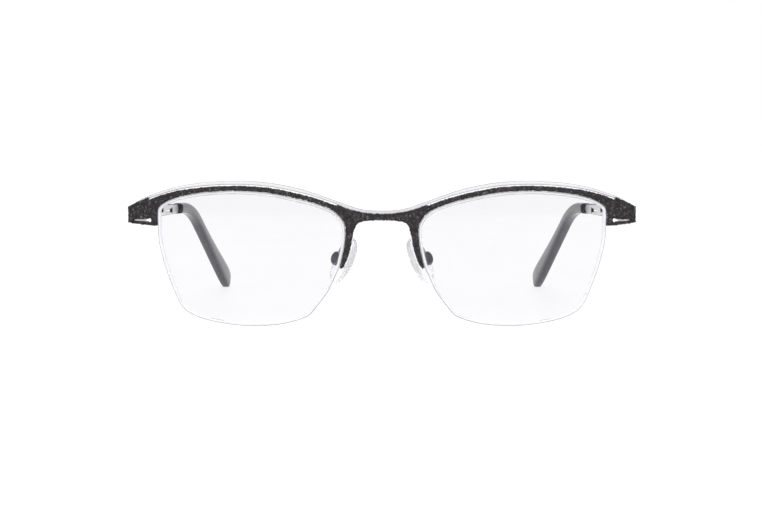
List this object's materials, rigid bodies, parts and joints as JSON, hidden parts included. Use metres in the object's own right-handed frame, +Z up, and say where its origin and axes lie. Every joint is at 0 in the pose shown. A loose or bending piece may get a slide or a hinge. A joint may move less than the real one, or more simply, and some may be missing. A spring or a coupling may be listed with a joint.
{
  "type": "half rim eyeglasses",
  "caption": "Semi-rimless eyeglasses: a formed metal brow front holds lenses with a nylon cord below, with silicone nose pads and temples that fold on screw hinges.",
  "frame": {"origin": "bottom centre of the bounding box, on the surface that the open glasses stand on", "axes": "+X towards the wearer's left, which is the viewer's right from in front, +Y back along the temples, so the front faces -Y, and +Z up"},
  "size_m": [0.1408, 0.1488, 0.0397],
  "materials": {
    "pebbled_black_paint": "pebbled black lacquer with fine glitter",
    "pearl_white_lacquer": "smooth pearl white lacquer with fine grey edge lines",
    "temple_lacquer": "satin silver inside, pebbled black outside",
    "satin_steel": "satin",
    "gunmetal_plate": "satin gunmetal plating",
    "lens_plastic": "clear, polished and coated",
    "clear_nylon": "clear monofilament",
    "clear_silicone": "clear soft silicone",
    "insert_plastic": "clear moulded plastic",
    "slate_acetate": "polished dark slate acetate"
  },
  "bodies": {
    "front": {"front_plate": "pebbled_black_paint", "brow_bar": "pearl_white_lacquer", "lens_left": "lens_plastic", "lens_right": "lens_plastic", "lens_cord_left": "clear_nylon", "lens_cord_right": "clear_nylon", "rim_liner_left": "clear_nylon", "rim_liner_right": "clear_nylon", "pad_arm_left": "gunmetal_plate", "pad_arm_right": "gunmetal_plate", "pad_cup_left": "gunmetal_plate", "pad_cup_right": "gunmetal_plate", "pad_screw_left": "satin_steel", "pad_screw_right": "satin_steel", "hinge_front_left": "satin_steel", "hinge_front_right": "satin_steel", "hinge_screw_left": "satin_steel", "hinge_screw_right": "satin_steel"},
    "pad_left": {"nose_pad_left": "clear_silicone", "pad_insert_left": "insert_plastic"},
    "pad_right": {"nose_pad_right": "clear_silicone", "pad_insert_right": "insert_plastic"},
    "temple_left": {"temple_left": "temple_lacquer", "temple_tip_left": "slate_acetate", "hinge_temple_left": "satin_steel"},
    "temple_right": {"temple_right": "temple_lacquer", "temple_tip_right": "slate_acetate", "hinge_temple_right": "satin_steel"}
  },
  "joints": [
    {"name": "temple_fold_right", "type": "hinge", "parent": "front", "child": "temple_right", "pos_m": [0.06704, -0.05945, 0.0303], "axis": [0, 0, 1], "range_deg": [0, 78]},
    {"name": "temple_fold_left", "type": "hinge", "parent": "front", "child": "temple_left", "pos_m": [-0.06704, -0.05945, 0.0303], "axis": [0, 0, -1], "range_deg": [0, 85]},
    {"name": "pad_rock_right", "type": "hinge", "parent": "front", "child": "pad_right", "pos_m": [0.01222, -0.06683, 0.01835], "axis": [-0.5279, -0.7917, -0.3075], "range_deg": [-8, 8]},
    {"name": "pad_rock_left", "type": "hinge", "parent": "front", "child": "pad_left", "pos_m": [-0.01222, -0.06683, 0.01835], "axis": [0.5279, -0.7917, -0.3075], "range_deg": [-8, 8]}
  ]
}
